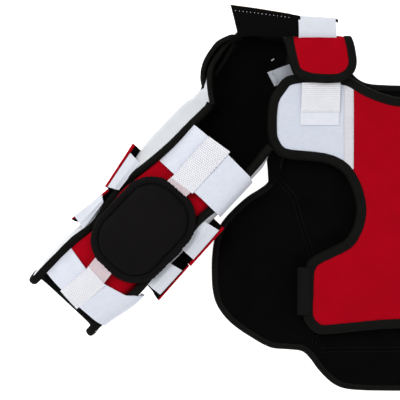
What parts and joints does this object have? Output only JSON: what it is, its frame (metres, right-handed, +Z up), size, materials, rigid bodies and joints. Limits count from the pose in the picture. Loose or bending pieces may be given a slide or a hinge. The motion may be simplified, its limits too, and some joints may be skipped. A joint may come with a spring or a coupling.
{
  "type": "chest protector",
  "caption": "Padded torso guard with a hinged back panel, hook-and-loop shoulder tabs and arm guards that swing at the shoulder and bend at the elbow.",
  "frame": {"origin": "on the ground under the middle of the whole object, which lies open on its front face", "axes": "+X towards the wearer's right arm, +Y towards the wearer's head, +Z up, out of the back"},
  "size_m": [1.028, 0.5078, 0.086],
  "materials": {
    "black_lining": "matte brushed black tricot lining over foam",
    "black_cover": "black laminated polyester cover cloth, fine weave",
    "black_binding": "black woven binding tape, folded over the edge and stitched",
    "black_elastic": "black woven elastic webbing",
    "red_fabric": "red knitted cover cloth over thin foam",
    "white_loop": "white brushed loop fabric",
    "white_webbing": "white ribbed woven webbing",
    "white_shell": "smooth white coated shell cloth over foam",
    "foam": "closed cell foam"
  },
  "bodies": {
    "front_protector": {"chest_outer_cover": "black_cover", "chest_lining": "black_lining", "chest_binding": "black_binding", "chest_foam_center": "foam", "chest_foam_abdomen": "foam", "chest_foam_side_left": "foam", "chest_foam_side_right": "foam", "chest_foam_shoulder_left": "foam", "chest_foam_shoulder_right": "foam", "hanger_hook_left": "white_webbing", "hanger_hook_right": "white_webbing"},
    "back_panel": {"back_lining": "black_lining", "back_foam": "foam", "back_cover": "red_fabric", "back_binding": "black_binding", "loop_patch_left": "white_loop", "loop_patch_right": "white_loop", "seam_tape_left": "white_webbing", "seam_tape_right": "white_webbing", "side_strap_left": "black_elastic", "side_strap_right": "black_elastic", "shoulder_tongue_left": "red_fabric", "shoulder_tongue_right": "red_fabric", "tongue_binding_left": "black_binding", "tongue_binding_right": "black_binding"},
    "shoulder_tab_left": {"shoulder_tab_left": "white_webbing"},
    "upper_arm_left": {"shoulder_cap_left": "black_lining", "deltoid_flap_left": "black_cover", "hanger_flap_left": "black_elastic", "upper_arm_shell_left": "white_shell", "upper_arm_lining_left": "black_lining", "upper_arm_liner_left": "red_fabric", "elbow_plate_upper_left": "red_fabric", "upper_band_left": "white_loop", "upper_webbing_left": "white_webbing"},
    "forearm_left": {"forearm_shell_left": "white_shell", "forearm_lining_left": "black_lining", "forearm_liner_left": "red_fabric", "elbow_plate_lower_left": "red_fabric", "forearm_band_left": "white_loop", "forearm_webbing_left": "white_webbing", "elbow_pad_left": "black_cover"},
    "shoulder_tab_right": {"shoulder_tab_right": "white_webbing"},
    "upper_arm_right": {"shoulder_cap_right": "black_lining", "deltoid_flap_right": "black_cover", "hanger_flap_right": "black_elastic", "upper_arm_shell_right": "white_shell", "upper_arm_lining_right": "black_lining", "upper_arm_liner_right": "red_fabric", "elbow_plate_upper_right": "red_fabric", "upper_band_right": "white_loop", "upper_webbing_right": "white_webbing"},
    "forearm_right": {"forearm_shell_right": "white_shell", "forearm_lining_right": "black_lining", "forearm_liner_right": "red_fabric", "elbow_plate_lower_right": "red_fabric", "forearm_band_right": "white_loop", "forearm_webbing_right": "white_webbing", "elbow_pad_right": "black_cover"}
  },
  "joints": [
    {"name": "back_panel_lift", "type": "hinge", "parent": "front_protector", "child": "back_panel", "pos_m": [0, 0.208, 0.054], "axis": [-1, 0, 0], "range_deg": [0, 60], "deforming": ["shoulder_tongue_left", "shoulder_tongue_right", "tongue_binding_left", "tongue_binding_right"]},
    {"name": "shoulder_tab_peel_left", "type": "hinge", "parent": "back_panel", "child": "shoulder_tab_left", "pos_m": [-0.135, 0.15, 0.0495], "axis": [-1, 0, 0], "range_deg": [0, 90]},
    {"name": "shoulder_swing_left", "type": "hinge", "parent": "front_protector", "child": "upper_arm_left", "pos_m": [-0.165, 0.224, 0.06], "axis": [0, 0, -1], "range_deg": [0, 30]},
    {"name": "elbow_flex_left", "type": "hinge", "parent": "upper_arm_left", "child": "forearm_left", "pos_m": [-0.3614, -0.0286, 0.042], "axis": [-0.7314, 0.682, 0], "range_deg": [0, 45], "deforming": ["elbow_pad_left"]},
    {"name": "shoulder_tab_peel_right", "type": "hinge", "parent": "back_panel", "child": "shoulder_tab_right", "pos_m": [0.135, 0.15, 0.0495], "axis": [-1, 0, 0], "range_deg": [0, 90]},
    {"name": "shoulder_swing_right", "type": "hinge", "parent": "front_protector", "child": "upper_arm_right", "pos_m": [0.165, 0.224, 0.06], "axis": [0, 0, 1], "range_deg": [0, 30]},
    {"name": "elbow_flex_right", "type": "hinge", "parent": "upper_arm_right", "child": "forearm_right", "pos_m": [0.3614, -0.0286, 0.042], "axis": [-0.7314, -0.682, 0], "range_deg": [0, 45], "deforming": ["elbow_pad_right"]}
  ]
}
